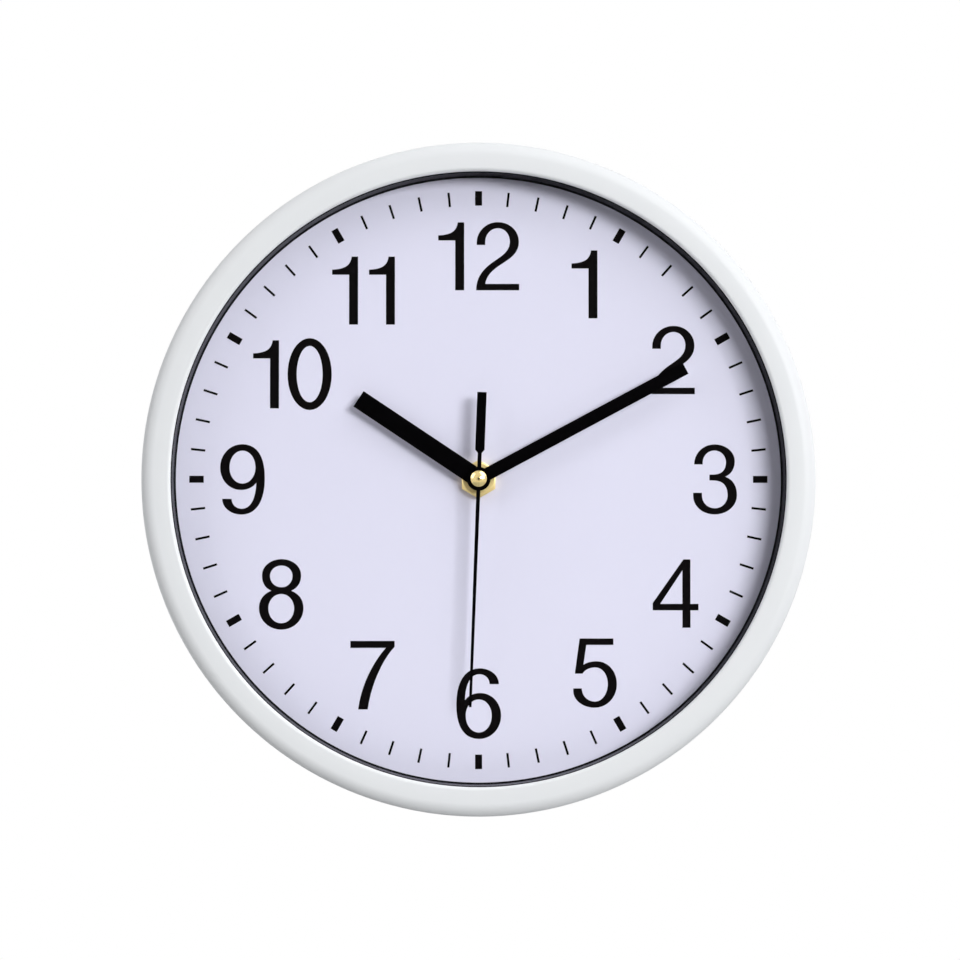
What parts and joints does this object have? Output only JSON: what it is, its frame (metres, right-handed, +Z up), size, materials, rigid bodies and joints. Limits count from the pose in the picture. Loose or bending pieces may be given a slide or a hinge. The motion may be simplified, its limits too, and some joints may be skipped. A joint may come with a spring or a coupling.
{
  "type": "wall clock",
  "caption": "Round wall clock with a white moulded frame, plain numbered dial, black hands and a battery quartz movement hung from a keyhole plate.",
  "frame": {"origin": "on the hands' axis, in the plane of the wall that the rear edge of the frame rests on", "axes": "+Y into the wall, -Y the way the dial faces, +X towards three o'clock as seen from the front, +Z up towards twelve o'clock"},
  "size_m": [0.25, 0.0402, 0.25],
  "materials": {
    "white_abs_gloss": "satin white moulded plastic",
    "white_abs": "fine matt white moulded plastic",
    "clear_glass": "clear flat glass",
    "black_ring": "glossy black",
    "dial_card": "pale lavender white printed sheet with black figures",
    "backing_board": "pressed board",
    "zinc_steel": "zinc plated",
    "black_rubber": "matt",
    "brass": "polished",
    "movement_black": "fine spark-eroded black",
    "bridge_plastic": "natural",
    "magnetic_steel": "rolled",
    "bobbin_plastic": "natural",
    "copper_wire": "enamelled copper wire",
    "circuit_board": "brown paper laminate",
    "black_resin": "gloss",
    "crystal_can": "nickel plated",
    "contact_strip": "nickel plated spring strip",
    "cell_can": "nickel plated can",
    "cell_washer": "white",
    "cell_sleeve": "plain dark sleeve without lettering",
    "magnet": "sintered",
    "wheel_plastic": "natural white",
    "second_train": "natural white with a steel arbor",
    "knob_plastic": "red",
    "black_hands": "black paint on pressed aluminium"
  },
  "bodies": {
    "clock": {"front_frame": "white_abs_gloss", "back_case": "white_abs", "lens": "clear_glass", "inner_ring": "black_ring", "dial": "dial_card", "dial_plate": "backing_board", "case_screws": "zinc_steel", "hanger_plate": "zinc_steel", "hanger_rivets": "zinc_steel", "bridge_screws": "zinc_steel", "rubber_washer": "black_rubber", "threaded_bush": "brass", "brass_washer": "brass", "hex_nut": "brass", "movement_front_case": "movement_black", "movement_rear_case": "movement_black", "train_bridge": "bridge_plastic", "stator": "magnetic_steel", "coil_core": "magnetic_steel", "coil_bobbin": "bobbin_plastic", "coil_winding": "copper_wire", "circuit_board": "circuit_board", "timing_chip": "black_resin", "quartz_crystal": "crystal_can", "positive_contact": "contact_strip", "negative_contact": "contact_strip"},
    "second_hand": {"second_wheel": "second_train", "second_hand": "black_hands", "second_hand_cap": "brass"},
    "rotor": {"rotor_magnet": "magnet", "rotor_pinion": "wheel_plastic"},
    "step_wheel": {"step_wheel": "wheel_plastic"},
    "third_wheel": {"third_wheel": "wheel_plastic"},
    "centre_wheel": {"centre_wheel": "wheel_plastic"},
    "minute_hand": {"cannon_pinion": "wheel_plastic", "minute_hand": "black_hands"},
    "minute_wheel": {"minute_wheel": "wheel_plastic"},
    "hour_hand": {"hour_wheel": "wheel_plastic", "hour_hand": "black_hands"},
    "setting_knob": {"setting_knob": "knob_plastic"},
    "battery": {"battery_can": "cell_can", "battery_insulator": "cell_washer", "battery_sleeve": "cell_sleeve"}
  },
  "joints": [
    {"name": "second_hand_spin", "type": "hinge", "parent": "clock", "child": "second_hand", "pos_m": [0, 0, 0], "axis": [0, 1, 0], "continuous": true},
    {"name": "rotor_spin", "type": "hinge", "parent": "clock", "child": "rotor", "pos_m": [0.00597, 0, 0.01301], "axis": [0, 1, 0], "continuous": true},
    {"name": "step_wheel_spin", "type": "hinge", "parent": "clock", "child": "step_wheel", "pos_m": [0.0094, 0, 0.00468], "axis": [0, 1, 0], "continuous": true},
    {"name": "third_wheel_spin", "type": "hinge", "parent": "clock", "child": "third_wheel", "pos_m": [-0.0101, 0, 0.00142], "axis": [0, 1, 0], "continuous": true},
    {"name": "centre_wheel_spin", "type": "hinge", "parent": "clock", "child": "centre_wheel", "pos_m": [0, 0, 0], "axis": [0, 1, 0], "continuous": true},
    {"name": "minute_hand_spin", "type": "hinge", "parent": "clock", "child": "minute_hand", "pos_m": [0, 0, 0], "axis": [0, 1, 0], "continuous": true},
    {"name": "minute_wheel_spin", "type": "hinge", "parent": "clock", "child": "minute_wheel", "pos_m": [0.00945, 0, -0.00167], "axis": [0, 1, 0], "continuous": true},
    {"name": "hour_hand_spin", "type": "hinge", "parent": "clock", "child": "hour_hand", "pos_m": [0, 0, 0], "axis": [0, 1, 0], "continuous": true},
    {"name": "setting_knob_spin", "type": "hinge", "parent": "clock", "child": "setting_knob", "pos_m": [0.01891, 0, -0.00333], "axis": [0, 1, 0], "continuous": true},
    {"name": "battery_lift", "type": "slide", "parent": "clock", "child": "battery", "axis": [0, 1, 0], "range_m": [0, 0.03]}
  ],
  "couplings": [
    {"joint": "step_wheel_spin", "follows": "second_hand_spin", "ratio": -6},
    {"joint": "rotor_spin", "follows": "second_hand_spin", "ratio": 30},
    {"joint": "third_wheel_spin", "follows": "second_hand_spin", "ratio": -0.13333},
    {"joint": "centre_wheel_spin", "follows": "second_hand_spin", "ratio": 0.016667},
    {"joint": "minute_wheel_spin", "follows": "minute_hand_spin", "ratio": -0.33333},
    {"joint": "hour_hand_spin", "follows": "minute_hand_spin", "ratio": 0.083333},
    {"joint": "setting_knob_spin", "follows": "minute_hand_spin", "ratio": 1}
  ]
}
